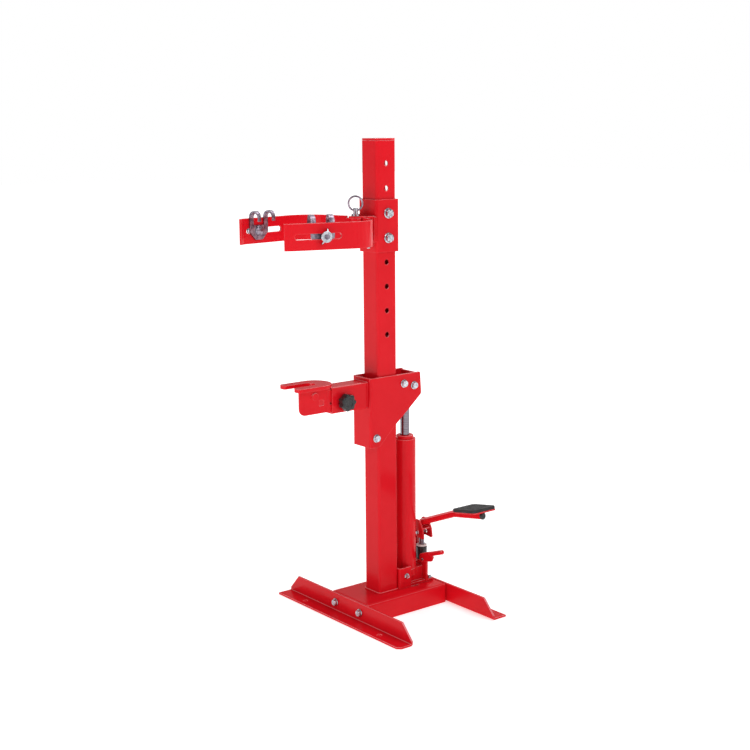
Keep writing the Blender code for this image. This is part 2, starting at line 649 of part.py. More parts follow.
def carriage():
    """The folded channel round the column, cut to its slanted side shape."""
    half = CHANNEL_HALF
    inner = half - SHEET
    section = outline([(-half, -0.050, 0.006), (half, -0.050, 0.006), (half, 0.095, 0),
                       (inner, 0.095, 0), (inner, -0.046, 0.002), (-inner, -0.046, 0.002),
                       (-inner, 0.095, 0), (-half, 0.095, 0)])
    channel = prism("carriage", "plan", [section], 0.350, 0.530, RED, LIFT)
    lobe = [(-0.060, 0.366, 0), (-0.026, 0.366, 0.010), (-0.008, 0.384, 0.010), (0.017, 0.408, 0.012),
            (0.054, 0.438, 0.020), (0.087, 0.466, 0.006), (0.084, CARRIAGE_TOP, 0.003),
            (-0.060, CARRIAGE_TOP, 0)]
    side = prism("carriage_side", "side", [outline(lobe)], -0.05, 0.05, None, LIFT)
    channel = change(channel, "INTERSECT", side)
    holes = cylinder("carriage_holes", "x", [REAR_ROLLER, FRONT_ROLLER, RAM_BOLT],
                     -0.05, 0.05, AXLE_RADIUS + GAP, None, LIFT, 16)
    cut(channel, holes)
    box("carriage_tie", (-inner + GAP, 0.0795, 0.468), (inner - GAP, 0.0835, 0.511), RED, LIFT, 0.0008,
        segments=1)
    carriage_fasteners()


def carriage_fasteners():
    """Axles of the two rollers and the ram's bolt, heads on the pedal side and nuts on the other."""
    half = CHANNEL_HALF + GAP
    for name, centre in (("rear_axle", REAR_ROLLER), ("front_axle", FRONT_ROLLER), ("ram_bolt", RAM_BOLT)):
        bolt(name, M8, 0.071, (half, *centre), (1, 0, 0), LIFT, nut_at=2 * half)


def roller(name, centre, radius, frame):
    """A guide roller that runs on the column between the carriage's plates."""
    half = CHANNEL_HALF - SHEET - 0.0012
    bore = AXLE_RADIUS + GAP
    profile = [(bore, half), (radius - 0.001, half), (radius, half - 0.001), (radius, -half + 0.001),
               (radius - 0.001, -half), (bore, -half)]
    turned(name, profile, STEEL, frame, (0, *centre), (0, math.pi / 2, 0), steps=24, ring=True)


# ---- Fork ----------------------------------------------------------------------------------------
def fork_carrier():
    """The square box on the carriage's front, with a hole for the locking screw."""
    carrier = prism("fork_carrier", "front", square_ring(BOX_HALF, BOX_LOW, BOX_HIGH, BOX_WALL, 0.0025),
                    BOX_FRONT, -0.050 - GAP, RED, LIFT)
    hole = cylinder("carrier_hole", "x", [(KNOB_Y, KNOB_Z)], 0.01, 0.03, 0.0054, None, LIFT, 20)
    cut(carrier, hole)


def fork_slider():
    """The inner tube of the fork, ending in the cheek that carries the fork plate."""
    low = BOX_LOW + BOX_WALL + 0.0006
    high = BOX_HIGH - BOX_WALL - 0.0006
    slider = prism("fork_slider", "front", square_ring(SLIDER_HALF, low, high, BOX_WALL, 0.002),
                   -0.149, -0.070, RED, FORK)
    seat = FORK_LOW - GAP
    side = outline([(-0.140, low + 0.0012, 0), (-0.2195, low + 0.0012, 0.014), (-0.2195, seat, 0.002),
                    (-0.1435, seat, 0.002), (-0.1435, high - 0.001, 0), (-0.140, high - 0.001, 0)])
    cheek = prism("slider_cheek", "side", [side], SLIDER_HALF - BOX_WALL - 0.0004, SLIDER_HALF - 0.0003,
                  None, FORK)
    end = box("slider_end", (-SLIDER_HALF + 0.0005, -0.1495, low + 0.0005),
              (SLIDER_HALF - 0.001, -0.1455, seat - 0.0002), None, FORK)
    boss = cylinder("slider_boss", "x", [(-0.182, 0.492)], SLIDER_HALF - 0.001, SLIDER_HALF + 0.003,
                    0.0075, None, FORK, 20)
    join(slider, cheek, end, boss)
    window = prism("slider_window", "side", [rectangle(-0.1705, 0.4715, -0.1595, 0.4825, 0.0005)],
                   0.012, 0.025, None, FORK)
    groove = prism("slider_groove", "side", [rectangle(-0.1445, 0.4705, -0.080, 0.4755, 0.0024)],
                   0.012, 0.025, None, FORK)
    cut(slider, window, groove)


def fork_plate():
    """The horseshoe under the spring's lower coil."""
    back = arc(0, FORK_BACK, FORK_HALF, 0, 180, 20)
    throat_centre = FORK_BACK - FORK_SLOT_HALF + 0.001
    throat = arc(0, throat_centre, FORK_SLOT_HALF, 180, 0, 14)
    left_tip = outline([(-FORK_HALF, FORK_BACK, 0), (-FORK_HALF, FORK_TIP, 0.008),
                        (-FORK_SLOT_HALF, FORK_TIP, 0.006), (-FORK_SLOT_HALF, throat_centre, 0)])[1:-1]
    right_tip = [Vector((-point.x, point.y)) for point in reversed(left_tip)]
    prism("fork_plate", "plan", [back + left_tip + throat + right_tip], FORK_LOW, FORK_HIGH, RED, FORK)


def lock_knob():
    """The lobed hand screw that clamps the slider."""
    lobes = 7
    rim = []
    for step in range(lobes * 6):
        angle = 2 * math.pi * step / (lobes * 6)
        radius = 0.0175 + 0.0014 * math.cos(lobes * angle)
        rim.append((KNOB_Y + radius * math.cos(angle), KNOB_Z + radius * math.sin(angle)))
    face = BOX_HALF + GAP
    grip = prism("lock_knob", "side", [rim], face + 0.003, face + 0.0195, BLACK, KNOB)
    collar = cylinder("knob_collar", "x", [(KNOB_Y, KNOB_Z)], face, face + 0.005, 0.0095, None, KNOB)
    stud = cylinder("knob_stud", "x", [(KNOB_Y, KNOB_Z)], SLIDER_HALF + GAP, face + 0.005, 0.005,
                    None, KNOB, 16)
    join(grip, collar, stud)


# ---- Upper hinge and arms ------------------------------------------------------------------------
def upper_sleeve():
    """The sleeve bolted to the column at one of its hole pairs."""
    half = SLEEVE / 2
    ring = square_ring(half, -half, half, SLEEVE_WALL, 0.006)
    sleeve = prism("upper_sleeve", "plan", ring, SLEEVE_BOTTOM, SLEEVE_TOP, RED, ROOT)
    levels = [(0, level) for level in SLEEVE_BOLT_Z]
    holes = cylinder("sleeve_holes", "x", levels, -0.04, 0.04, HOLE_RADIUS, None, ROOT, 20)
    cut(sleeve, holes)
    for name, level in zip(("lower_sleeve_bolt", "upper_sleeve_bolt"), levels):
        bolt(name, M10, 0.074, (half + GAP, *level), (1, 0, 0), ROOT, nut_at=SLEEVE + 2 * GAP)


def hinge_bracket():
    """Two lugs on a web, welded to the sleeve's front, with a stop bolt for each arm."""
    face = -SLEEVE / 2 - GAP
    half = 0.0245
    front = HINGE_Y - LUG_RADIUS
    lug = outline([(-half, face - 0.0005, 0), (half, face - 0.0005, 0), (half, -0.0475, 0.003),
                   (LUG_RADIUS, -0.0485, 0.001), (LUG_RADIUS, front, 0.0135), (-LUG_RADIUS, front, 0.0135),
                   (-LUG_RADIUS, -0.0485, 0.001), (-half, -0.0475, 0.003)])
    pin = circle(0, HINGE_Y, PIN_RADIUS + GAP, 20)
    stops = [circle(side * STOP_X, STOP_Y, 0.0043, 16) for side in (-1, 1)]
    bracket = prism("hinge_bracket", "plan", [lug, pin, *stops], LUG_BOTTOM, LUG_BOTTOM + SHEET, RED, ROOT)
    upper = prism("upper_lug", "plan", [lug, pin], LUG_TOP - SHEET, LUG_TOP, None, ROOT)
    web = box("lug_web", (-0.029, -0.0345, LUG_BOTTOM + 0.001), (0.029, face, LUG_TOP - 0.001), None, ROOT)
    join(bracket, upper, web)
    top = 0.812
    for name, side in (("right_arm_stop", 1), ("left_arm_stop", -1)):
        seat = (side * STOP_X, STOP_Y, top)
        bolt(name, STOP, 0.032, seat, (0, 0, 1), ROOT, nut_at=top - LUG_BOTTOM + GAP)


def pull_pin():
    """The hinge pin, which lifts out by its ring to free the arms."""
    low = 0.784
    collar = LUG_TOP + GAP
    profile = [(0, 0.862), (0.0042, 0.862), (0.005, 0.861), (0.005, collar + 0.004),
               (0.0085, collar + 0.004), (0.0085, collar), (PIN_RADIUS, collar),
               (PIN_RADIUS, low + 0.003), (PIN_RADIUS - 0.002, low), (0, low)]
    pin = turned("pull_pin", profile, ZINC, PIN, (0, HINGE_Y, 0), steps=24)
    centre = (0, HINGE_Y, 0.871)
    upright = (math.pi / 2, 0, RING_TURN)
    tools = []
    for name, wire in (("pull_ring", 0.002), ("ring_clearance", 0.0024)):
        bpy.ops.mesh.primitive_torus_add(major_radius=0.0143, minor_radius=wire,
                                         major_segments=28, minor_segments=8)
        made = bpy.context.object
        mesh = made.data
        bpy.data.objects.remove(made, do_unlink=True)
        tools.append(place(name, mesh, ZINC if wire == 0.002 else None, PIN, centre, upright))
    cut(pin, tools[1])


def advance(x, y, heading, length, turn):
    """The end of a stretch that turns evenly inwards; headings are from -Y towards +X, in radians."""
    if turn == 0:
        return x + length * math.sin(heading), y - length * math.cos(heading), heading
    bend = turn / length
    after = heading - turn
    x += (math.cos(after) - math.cos(heading)) / bend
    y += (math.sin(after) - math.sin(heading)) / bend
    return x, y, after


def arm_point(distance):
    """Place and heading (x, y, heading) on the right arm's middle, this far from the hinge."""
    here = (0.0, 0.0, math.radians(ARM_HEADING))
    left = distance
    for length, turn in ARM_RUNS:
        part = min(left, length)
        here = advance(*here, part, math.radians(turn) * part / length)
        left -= part
        if left <= 0:
            break
    return here


def arm_stations(start, stop):
    """Places along the right arm's middle: the two ends and enough between them to round its bends."""
    distances = {start, stop}
    gone = 0.0
    for length, turn in ARM_RUNS:
        steps = max(1, round(turn / 9))
        marks = [round(gone + length * step / steps, 6) for step in range(steps + 1)]
        distances.update(mark for mark in marks if start + 0.0005 < mark < stop - 0.0005)
        gone += length
    return [arm_point(distance) for distance in sorted(distances)]


def strip(side, start, stop):
    """Plan outline of the arm's bar between two distances from the hinge."""
    near = []
    far = []
    for x, y, heading in arm_stations(start, stop):
        across = Vector((math.cos(heading), math.sin(heading))) * ARM_THICK / 2
        near.append(Vector((x, y)) + across)
        far.append(Vector((x, y)) - across)
    return [Vector((side * point.x, point.y)) for point in near + far[::-1]]


def arm(name, side, frame):
    """A flat bar on edge, bent round the spring, with a knuckle on the pin and a long slot."""
    length = sum(run for run, _ in ARM_RUNS)
    bar = prism(f"{name}_arm", "plan", [strip(side, ARM_START, length)], ARM_LOW, ARM_HIGH, RED, frame)
    middle = (LUG_BOTTOM + LUG_TOP) / 2
    if name == "right":
        low, high = LUG_BOTTOM + SHEET + 0.0005, middle - 0.0004
    else:
        low, high = middle + 0.0004, LUG_TOP - SHEET - 0.0005
    root = prism(f"{name}_arm_root", "plan", [strip(side, 0.0, ARM_START + 0.009)],
                 low + 0.0002, high - 0.0002, None, frame)
    knuckle = cylinder(f"{name}_knuckle", "z", [(0, 0)], low, high, 0.011, None, frame, 28)
    bore = cylinder(f"{name}_bore", "z", [(0, 0)], low - 0.01, high + 0.01, PIN_RADIUS + GAP,
                    None, frame, 20)
    join(bar, root, knuckle)
    end = SLOT_LENGTH / 2 - SLOT_WIDTH / 2
    round_end = SLOT_WIDTH / 2
    ends = arc(end, SLOT_Z, round_end, -90, 90, 8) + arc(-end, SLOT_Z, round_end, 90, 270, 8)
    slot = prism(f"{name}_slot", "side", [ends], -0.02, 0.02, None, SLOT_FRAMES[name])
    cut(bar, bore, slot)


def hook(name, frame, nut_frame):
    """The sliding hook with its bolt and wing nut; the frame's +X points at the spring."""
    face = ARM_THICK / 2 + GAP
    plate_out = face + SHEET
    half = 0.0240
    root = 0.0140
    shape = outline([(-half, 0.8305, 0), (-half, 0.8165, 0.006), (-0.009, 0.801, 0.006),
                     (0.009, 0.801, 0.006), (half, 0.8165, 0.006), (half, 0.8305, 0)])
    body = prism(f"{name}_hook", "side", [shape], face, plate_out, HOOK_ZINC, frame)
    crown = 0.8455
    bend = 0.0145
    tip = face + 2 * bend
    arch = [(face, 0.820)] + [tuple(p) for p in arc(face + bend, crown, bend, 180, 0, 10)]
    arch += [(tip, 0.8390), (tip - SHEET, 0.8390)]
    arch += [tuple(p) for p in arc(face + bend, crown, bend - SHEET, 0, 180, 10)] + [(plate_out, 0.820)]
    for side in (-1, 1):
        low, high = sorted((side * root, side * (half - 0.0001)))
        finger = prism(f"{name}_finger_{side}", "front", [arch], low, high, None, frame)
        middle = side * (root + half) / 2
        wide = [(face - 0.01, 0.007), (plate_out + 0.002, 0.007), (tip + 0.001, 0.0026)]
        taper = [(x, middle - reach) for x, reach in wide]
        taper += [(x, middle + reach) for x, reach in reversed(wide)]
        change(finger, "INTERSECT", prism(f"{name}_taper_{side}", "plan", [taper], 0.81, 0.87, None, frame))
        join(body, finger)
    hole = cylinder(f"{name}_hook_hole", "x", [(0, SLOT_Z)], -0.01, 0.02, 0.0054, None, frame, 20)
    cut(body, hole)
    head = [(0, 0.0055), (0.004, 0.0052), (0.0085, 0.0033), (0.0105, 0.0008), (0.0105, 0), (0.005, 0),
            (0.005, -0.0285), (0, -0.0285)]
    outer = -ARM_THICK / 2 - GAP
    turned(f"{name}_hook_bolt", head, HOOK_ZINC, frame, (plate_out + GAP, 0, SLOT_Z), (0, math.pi / 2, 0),
           steps=20)
    wing_nut(name, outer, nut_frame)


def wing_nut(name, seat, frame):
    """A wing nut whose seat faces the arm; frame's origin is on the bolt's axis."""
    hub = [(0, seat), (0.0110, seat), (0.0110, seat - 0.0018), (0.0088, seat - 0.002),
           (0.0075, seat - 0.012), (0, seat - 0.012)]
    body = turned(f"{name}_wing_nut", hub, ZINC, frame, (0, 0, SLOT_Z), (0, math.pi / 2, 0), steps=20)
    for side in (-1, 1):
        wing = outline([(seat - 0.005, SLOT_Z + side * 0.0035, 0),
                        (seat - 0.005, SLOT_Z + side * 0.012, 0.003),
                        (seat - 0.014, SLOT_Z + side * 0.0185, 0.0035),
                        (seat - 0.0185, SLOT_Z + side * 0.0140, 0.0035),
                        (seat - 0.010, SLOT_Z + side * 0.0035, 0)], 3)
        join(body, prism(f"{name}_wing_{side}", "front", [wing], -0.0020, 0.0020, None, frame))
    bore = cylinder(f"{name}_nut_bore", "x", [(0, SLOT_Z)], seat - 0.03, seat + 0.01, 0.0054,
                    None, frame, 20)
    cut(body, bore)


# ---- Frames on the joint axes, and assembly ------------------------------------------------------
ROOT = frame_at("stand", (0, 0, 0))
LIFT = frame_at("lift_axis", (0, JACK_Y, 0), ROOT)
REAR_AXLE = frame_at("rear_roller_axis", (0, *REAR_ROLLER), LIFT)
FRONT_AXLE = frame_at("front_roller_axis", (0, *FRONT_ROLLER), LIFT)
FORK = frame_at("fork_axis", (0, BOX_FRONT, KNOB_Z), LIFT)
KNOB = frame_at("knob_axis", (BOX_HALF, KNOB_Y, KNOB_Z), LIFT)
PEDAL = frame_at("pedal_axis", (PEDAL_PIVOT[0], PUMP_Y, PEDAL_PIVOT[1]), ROOT)
PLUNGER = frame_at("plunger_axis", (0, PUMP_Y, 0), ROOT)
RELEASE = frame_at("release_axis", (RELEASE_PIVOT[0], RELEASE_Y, RELEASE_PIVOT[1]), ROOT)
PIN = frame_at("pin_axis", (0, HINGE_Y, 0), ROOT)
ROOT.location.y = -(STAND_FRONT + STAND_REAR) / 2

SLOT_FRAMES = {}


def arm_frames(name, side):
    """The arm's swing frame, and a frame on its slot's middle with +X towards the spring."""
    turn = side * math.radians(ARM_OPEN[name])
    swing = own_frame(f"{name}_arm_axis", (0, HINGE_Y, 0), ROOT, turn)
    frames = {}
    for kind, reach in (("slot", SLOT_AT), ("hook", HOOK_AT[name])):
        x, y, heading = arm_point(reach)
        inwards = math.atan2(-math.sin(heading), -side * math.cos(heading))
        frames[kind] = own_frame(f"{name}_{kind}_axis", (side * x, y, 0), swing, inwards)
    return swing, frames


base()
column()
jack_bracket()
pump_block()
jack()
pump()
plunger()
pump_pedal()
release_pedal()
ram()
carriage()
roller("rear_roller", REAR_ROLLER, REAR_ROLLER_RADIUS, REAR_AXLE)
roller("front_roller", FRONT_ROLLER, FRONT_ROLLER_RADIUS, FRONT_AXLE)
fork_carrier()
fork_slider()
fork_plate()
lock_knob()
upper_sleeve()
hinge_bracket()
pull_pin()
for arm_name, arm_side in (("right", 1), ("left", -1)):
    arm_frame, inner_frames = arm_frames(arm_name, arm_side)
    SLOT_FRAMES[arm_name] = inner_frames["slot"]
    arm(arm_name, arm_side, arm_frame)
    nut_axis = own_frame(f"{arm_name}_nut_axis", (0, 0, SLOT_Z), inner_frames["hook"], 0.0)
    nut_axis.rotation_euler.x = math.radians(NUT_TILT[arm_name])
    hook(arm_name, inner_frames["hook"], nut_axis)
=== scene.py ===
"""Looks of the coil spring compressor: finishes, fasteners, welds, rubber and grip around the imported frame.

Metres, +Z up, in the frame's own coordinates. Every place is read from the frame's nodes and joints.
"""
import json
import math

import bmesh
import bpy
from mathutils import Matrix, Vector


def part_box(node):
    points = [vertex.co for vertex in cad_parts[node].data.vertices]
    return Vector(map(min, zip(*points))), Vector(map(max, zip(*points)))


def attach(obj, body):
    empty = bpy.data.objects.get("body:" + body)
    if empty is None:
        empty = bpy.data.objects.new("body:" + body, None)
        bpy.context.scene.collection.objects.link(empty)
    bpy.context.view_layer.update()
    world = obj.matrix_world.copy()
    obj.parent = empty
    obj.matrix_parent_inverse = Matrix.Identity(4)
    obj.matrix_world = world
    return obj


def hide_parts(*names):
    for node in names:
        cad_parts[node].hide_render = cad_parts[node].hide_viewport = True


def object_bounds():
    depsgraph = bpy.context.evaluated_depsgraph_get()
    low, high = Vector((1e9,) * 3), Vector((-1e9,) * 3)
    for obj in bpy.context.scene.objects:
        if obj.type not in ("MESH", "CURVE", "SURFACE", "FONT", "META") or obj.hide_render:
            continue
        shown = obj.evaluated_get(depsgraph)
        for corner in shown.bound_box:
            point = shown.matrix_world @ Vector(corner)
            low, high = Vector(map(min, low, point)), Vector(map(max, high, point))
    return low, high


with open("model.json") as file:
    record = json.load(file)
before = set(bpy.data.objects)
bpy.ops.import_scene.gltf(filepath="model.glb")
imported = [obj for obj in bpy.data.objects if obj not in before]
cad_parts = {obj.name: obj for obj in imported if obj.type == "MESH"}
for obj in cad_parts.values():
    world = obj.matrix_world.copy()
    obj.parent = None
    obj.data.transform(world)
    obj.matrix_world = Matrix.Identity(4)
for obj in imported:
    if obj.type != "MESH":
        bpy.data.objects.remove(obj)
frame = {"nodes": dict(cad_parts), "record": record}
CAD_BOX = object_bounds()
NODES = frame["nodes"]
RECORD = frame["record"]
SLOT_OF = {part["node"]: part["material_slot"] for part in RECORD["subparts"]}
BODY_OF = {node: body for body, nodes in RECORD["behaviour"]["bodies"].items() for node in nodes}
JOINTS = {joint["name"]: joint for joint in RECORD["behaviour"]["joints"]}

X = Vector((1, 0, 0))
Y = Vector((0, 1, 0))
Z = Vector((0, 0, 1))

# ---- Camera, light and floor -------------------------------------------------------------------
CAMERA_AT = (2.17032, -1.66262, 1.03284)
CAMERA_AZIMUTH = math.radians(51.806)
CAMERA_DOWN = math.radians(10.661)
CAMERA_ROLL = math.radians(-0.472)
CAMERA_LENS = 64.615


def camera():
    away = Vector((-math.sin(CAMERA_AZIMUTH) * math.cos(CAMERA_DOWN),
                   math.cos(CAMERA_AZIMUTH) * math.cos(CAMERA_DOWN), -math.sin(CAMERA_DOWN)))
    level = Vector((math.cos(CAMERA_AZIMUTH), math.sin(CAMERA_AZIMUTH), 0))
    upright = level.cross(away)
    cosine = math.cos(CAMERA_ROLL)
    sine = math.sin(CAMERA_ROLL)
    right = level * cosine + upright * sine
    above = upright * cosine - level * sine
    data = bpy.data.cameras.new("camera")
    data.lens = CAMERA_LENS
    data.sensor_width = 36
    data.clip_end = 50
    eye = bpy.data.objects.new("camera", data)
    turn = Matrix((right, above, -away)).transposed().to_4x4()
    eye.matrix_world = Matrix.Translation(CAMERA_AT) @ turn
    bpy.context.scene.collection.objects.link(eye)
    bpy.context.scene.camera = eye


def soft_box(name, place, target, size, power):
    data = bpy.data.lights.new(name, "AREA")
    data.shape = "DISK"
    data.size = size
    data.energy = power
    lamp = bpy.data.objects.new(name, data)
    lamp.location = place
    lamp.rotation_euler = (Vector(target) - Vector(place)).to_track_quat("-Z", "Y").to_euler()
    bpy.context.scene.collection.objects.link(lamp)


def floor_glow(mat):
    """The floor's own glow, though it is no lamp: it grows to full white far away, and is cut to nothing under
    the tray as a painted shadow.
    """
    nodes = mat.node_tree.nodes
    links = mat.node_tree.links
    distance = nodes.new("ShaderNodeVectorMath")
    distance.operation = "LENGTH"
    links.new(position(mat), distance.inputs[0])
    far = nodes.new("ShaderNodeMapRange")
    far.inputs["From Min"].default_value = 0.6
    far.inputs["From Max"].default_value = 3.0
    far.inputs["To Min"].default_value = 0.46
    far.inputs["To Max"].default_value = 1.0
    links.new(distance.outputs["Value"], far.inputs["Value"])
    # Painted shadow: the glow is switched off where the floor lies under the tray.
    low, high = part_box("base_tray")
    centred = nodes.new("ShaderNodeVectorMath")
    centred.operation = "SUBTRACT"
    centred.inputs[1].default_value = (low + high) / 2
    links.new(position(mat), centred.inputs[0])
    scaled = nodes.new("ShaderNodeVectorMath")
    scaled.operation = "DIVIDE"
    scaled.inputs[1].default_value = (high - low) / 2
    links.new(centred.outputs["Vector"], scaled.inputs[0])
    folded = nodes.new("ShaderNodeVectorMath")
    folded.operation = "ABSOLUTE"
    links.new(scaled.outputs["Vector"], folded.inputs[0])
    parts = nodes.new("ShaderNodeSeparateXYZ")
    links.new(folded.outputs["Vector"], parts.inputs["Vector"])
    reach = nodes.new("ShaderNodeMath")
    reach.operation = "MAXIMUM"
    links.new(parts.outputs["X"], reach.inputs[0])
    links.new(parts.outputs["Y"], reach.inputs[1])
    outside_tray_shadow = nodes.new("ShaderNodeMath")
    outside_tray_shadow.operation = "GREATER_THAN"
    outside_tray_shadow.inputs[1].default_value = 0.97
    links.new(reach.outputs["Value"], outside_tray_shadow.inputs[0])
    glow = nodes.new("ShaderNodeMath")
    glow.operation = "MULTIPLY"
    links.new(far.outputs["Result"], glow.inputs[0])
    links.new(outside_tray_shadow.outputs["Value"], glow.inputs[1])
    return glow.outputs["Value"]


def studio():
    """A white room: the backdrop is white to the eye and gives only a soft grey light."""
    world = bpy.data.worlds.new("studio")
    world.use_nodes = True
    nodes = world.node_tree.nodes
    links = world.node_tree.links
    light = nodes["Background"]
    light.inputs["Color"].default_value = (1.0, 1.0, 1.0, 1.0)
    light.inputs["Strength"].default_value = 0.36
    backdrop = nodes.new("ShaderNodeBackground")
    backdrop.inputs["Color"].default_value = (1.0, 1.0, 1.0, 1.0)
    backdrop.inputs["Strength"].default_value = 1.0
    rays = nodes.new("ShaderNodeLightPath")
    either = nodes.new("ShaderNodeMixShader")
    links.new(rays.outputs["Is Camera Ray"], either.inputs["Fac"])
    links.new(light.outputs["Background"], either.inputs[1])
    links.new(backdrop.outputs["Background"], either.inputs[2])
    links.new(either.outputs["Shader"], nodes["World Output"].inputs["Surface"])
    bpy.context.scene.world = world
    bpy.context.scene.view_settings.view_transform = "Standard"
    soft_box("key", (2.6, -0.1, 2.2), (0, 0, 0.45), 1.6, 22)
    soft_box("front", (0.5, -2.8, 1.7), (0, 0, 0.45), 1.2, 8.5)
    soft_box("rim", (-1.6, 1.8, 1.9), (0, 0, 0.5), 1.0, 14)
    soft_box("overhead", (0.2, 0.8, 2.5), (0, 0, 0.3), 1.3, 20)
    soft_box("low_fill", (0.1, -1.5, 0.35), (0, -0.2, 0.1), 0.5, 3.0)
    bpy.ops.mesh.primitive_grid_add(x_subdivisions=8, y_subdivisions=8, size=40)
    floor = bpy.context.object
    floor.name = "floor"
    floor.location.z = CAD_BOX[0].z - 0.0005
    mat, shader = new_material("floor_finish")
    tone = spotted(mat, 2.0, (0.90, 0.90, 0.90), (0.93, 0.93, 0.93))
    mat.node_tree.links.new(tone, shader.inputs["Base Color"])
    shader.inputs["Roughness"].default_value = 0.9
    shader.inputs["Specular IOR Level"].default_value = 0.0
    shader.inputs["Emission Color"].default_value = (1.0, 1.0, 1.0, 1.0)
    mat.node_tree.links.new(floor_glow(mat), shader.inputs["Emission Strength"])
    floor.data.materials.append(mat)


# ---- Materials ---------------------------------------------------------------------------------
def new_material(name):
    mat = bpy.data.materials.new(name)
    mat.use_nodes = True
    return mat, mat.node_tree.nodes["Principled BSDF"]


def position(mat, stretch=(1, 1, 1)):
    """Object coordinates, stretched along each axis."""
    nodes = mat.node_tree.nodes
    place = nodes.new("ShaderNodeTexCoord")
    mapping = nodes.new("ShaderNodeMapping")
    mapping.inputs["Scale"].default_value = stretch
    mat.node_tree.links.new(place.outputs["Object"], mapping.inputs["Vector"])
    return mapping.outputs["Vector"]


def noise(mat, scale, detail=3.0, stretch=(1, 1, 1)):
    texture = mat.node_tree.nodes.new("ShaderNodeTexNoise")
    texture.inputs["Scale"].default_value = scale
    texture.inputs["Detail"].default_value = detail
    mat.node_tree.links.new(position(mat, stretch), texture.inputs["Vector"])
    return texture.outputs["Fac"]


def ramp(mat, factor, first, second, low=0.3, high=0.7):
    blend = mat.node_tree.nodes.new("ShaderNodeValToRGB")
    start, end = blend.color_ramp.elements
    start.position = low
    end.position = high
    start.color = (*first, 1)
    end.color = (*second, 1)
    mat.node_tree.links.new(factor, blend.inputs["Fac"])
    return blend.outputs["Color"]


def spotted(mat, scale, first, second, detail=3.0, stretch=(1, 1, 1)):
    return ramp(mat, noise(mat, scale, detail, stretch), first, second)


def between(mat, factor, low, high):
    """A number that runs from low to high with the factor."""
    span = mat.node_tree.nodes.new("ShaderNodeMapRange")
    span.inputs["To Min"].default_value = low
    span.inputs["To Max"].default_value = high
    span.inputs["From Min"].default_value = 0.3
    span.inputs["From Max"].default_value = 0.7
    mat.node_tree.links.new(factor, span.inputs["Value"])
    return span.outputs["Result"]


def bumped(mat, shader, height, strength, depth):
    bump = mat.node_tree.nodes.new("ShaderNodeBump")
    bump.inputs["Strength"].default_value = strength
    bump.inputs["Distance"].default_value = depth
    mat.node_tree.links.new(height, bump.inputs["Height"])
    mat.node_tree.links.new(bump.outputs["Normal"], shader.inputs["Normal"])


def edge_wear_and_highlight(mat, colour, worn_and_highlight, reach, scale):
    """Paint paler within a small reach of its edges, partly rubbed wear and partly a painted highlight that is
    strongest where the edges face up, broken by noise.
    """
    nodes = mat.node_tree.nodes
    links = mat.node_tree.links
    rounded = nodes.new("ShaderNodeBevel")
    rounded.samples = 6
    rounded.inputs["Radius"].default_value = reach
    geometry = nodes.new("ShaderNodeNewGeometry")
    lean = nodes.new("ShaderNodeVectorMath")
    lean.operation = "DOT_PRODUCT"
    links.new(rounded.outputs["Normal"], lean.inputs[0])
    links.new(geometry.outputs["Normal"], lean.inputs[1])
    edge = nodes.new("ShaderNodeMapRange")
    edge.inputs["From Min"].default_value = 0.99
    edge.inputs["From Max"].default_value = 0.85
    edge.inputs["To Max"].default_value = 1.0
    links.new(lean.outputs["Value"], edge.inputs["Value"])
    facing = nodes.new("ShaderNodeSeparateXYZ")
    links.new(rounded.outputs["Normal"], facing.inputs["Vector"])
    # Painted highlight: edges that face up are made paler, as if the light from above caught them.
    upward_highlight = nodes.new("ShaderNodeMapRange")
    upward_highlight.inputs["From Min"].default_value = 0.15
    upward_highlight.inputs["From Max"].default_value = 0.6
    upward_highlight.inputs["To Min"].default_value = 0.2
    links.new(facing.outputs["Z"], upward_highlight.inputs["Value"])
    wear_and_highlight_mask = nodes.new("ShaderNodeMath")
    wear_and_highlight_mask.operation = "MULTIPLY"
    links.new(edge.outputs["Result"], wear_and_highlight_mask.inputs[0])
    links.new(upward_highlight.outputs["Result"], wear_and_highlight_mask.inputs[1])
    broken = nodes.new("ShaderNodeMath")
    broken.operation = "MULTIPLY"
    links.new(wear_and_highlight_mask.outputs["Value"], broken.inputs[0])
    links.new(between(mat, noise(mat, scale, 5.0), 0.3, 1.0), broken.inputs[1])
    mix = nodes.new("ShaderNodeMix")
    mix.data_type = "RGBA"
    mix.inputs["B"].default_value = (*worn_and_highlight, 1)
    links.new(broken.outputs["Value"], mix.inputs["Factor"])
    links.new(colour, mix.inputs["A"])
    return mix.outputs["Result"]


def bend_sheen(mat, colour, pale):
    """A paler band where a bend or a slope faces half up, as the light over the stand catches it."""
    nodes = mat.node_tree.nodes
    links = mat.node_tree.links
    geometry = nodes.new("ShaderNodeNewGeometry")
    facing = nodes.new("ShaderNodeSeparateXYZ")
    links.new(geometry.outputs["Normal"], facing.inputs["Vector"])
    blend = nodes.new("ShaderNodeValToRGB")
    start, end = blend.color_ramp.elements
    start.position = 0.50
    end.position = 0.92
    start.color = (0, 0, 0, 1)
    end.color = (0, 0, 0, 1)
    middle = blend.color_ramp.elements.new(0.74)
    middle.color = (0.62, 0.62, 0.62, 1)
    links.new(facing.outputs["Z"], blend.inputs["Fac"])
    mix = nodes.new("ShaderNodeMix")
    mix.data_type = "RGBA"
    mix.inputs["B"].default_value = (*pale, 1)
    links.new(blend.outputs["Color"], mix.inputs["Factor"])
    links.new(colour, mix.inputs["A"])
    return mix.outputs["Result"]


